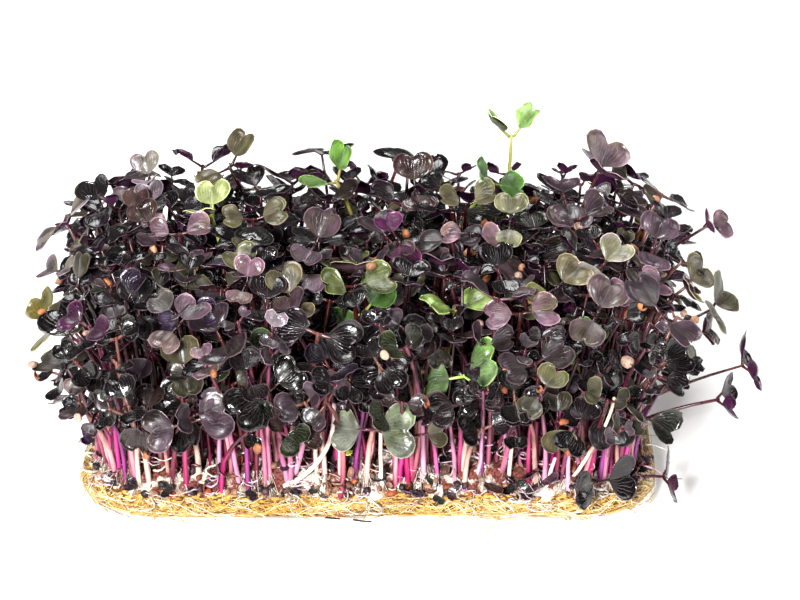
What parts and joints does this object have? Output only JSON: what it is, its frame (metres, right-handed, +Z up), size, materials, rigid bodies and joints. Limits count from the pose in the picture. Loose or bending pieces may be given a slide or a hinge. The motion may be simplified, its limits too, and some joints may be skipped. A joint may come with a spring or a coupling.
{
  "type": "radish microgreens tray",
  "caption": "Shallow rectangular tray with a fibre mat and a dense stand of dark purple radish seedlings with paired heart-shaped leaves.",
  "frame": {"origin": "middle of the tray's flat underside", "axes": "+X along the tray's long side, -Y towards its front, +Z up"},
  "size_m": [0.2331, 0.1429, 0.1019],
  "materials": {
    "tray": "white moulded plastic with a soft sheen",
    "fibre_mat": "loose golden plant fibres, matt",
    "seedlings": "dark purple leaves with a soft gloss on magenta stems",
    "green_seedlings": "fresh green leaves with a soft gloss on pale stems"
  },
  "bodies": {
    "root": {"tray": "tray", "fibre_mat": "fibre_mat", "seedlings_1_1": "seedlings", "seedlings_1_2": "seedlings", "seedlings_1_3": "seedlings", "seedlings_1_4": "seedlings", "seedlings_1_5": "seedlings", "seedlings_1_6": "seedlings", "seedlings_1_7": "seedlings", "seedlings_1_8": "seedlings", "seedlings_2_1": "seedlings", "seedlings_2_2": "seedlings", "seedlings_2_3": "seedlings", "seedlings_2_4": "seedlings", "seedlings_2_5": "seedlings", "seedlings_2_6": "seedlings", "seedlings_2_7": "seedlings", "seedlings_2_8": "seedlings", "seedlings_3_1": "seedlings", "seedlings_3_2": "seedlings", "seedlings_3_3": "seedlings", "seedlings_3_4": "seedlings", "seedlings_3_5": "seedlings", "seedlings_3_6": "seedlings", "seedlings_3_7": "seedlings", "seedlings_3_8": "seedlings", "seedlings_4_1": "seedlings", "seedlings_4_2": "seedlings", "seedlings_4_3": "seedlings", "seedlings_4_4": "seedlings", "seedlings_4_5": "seedlings", "seedlings_4_6": "seedlings", "seedlings_4_7": "seedlings", "seedlings_4_8": "seedlings", "seedlings_5_1": "seedlings", "seedlings_5_2": "seedlings", "seedlings_5_3": "seedlings", "seedlings_5_4": "seedlings", "seedlings_5_5": "seedlings", "seedlings_5_6": "seedlings", "seedlings_5_7": "seedlings", "seedlings_5_8": "seedlings", "green_seedling_1": "green_seedlings", "green_seedling_2": "green_seedlings", "green_seedling_3": "green_seedlings", "green_seedling_4": "green_seedlings", "green_seedling_5": "green_seedlings", "green_seedling_6": "green_seedlings", "green_seedling_7": "green_seedlings", "green_seedling_8": "green_seedlings"}
  },
  "joints": []
}
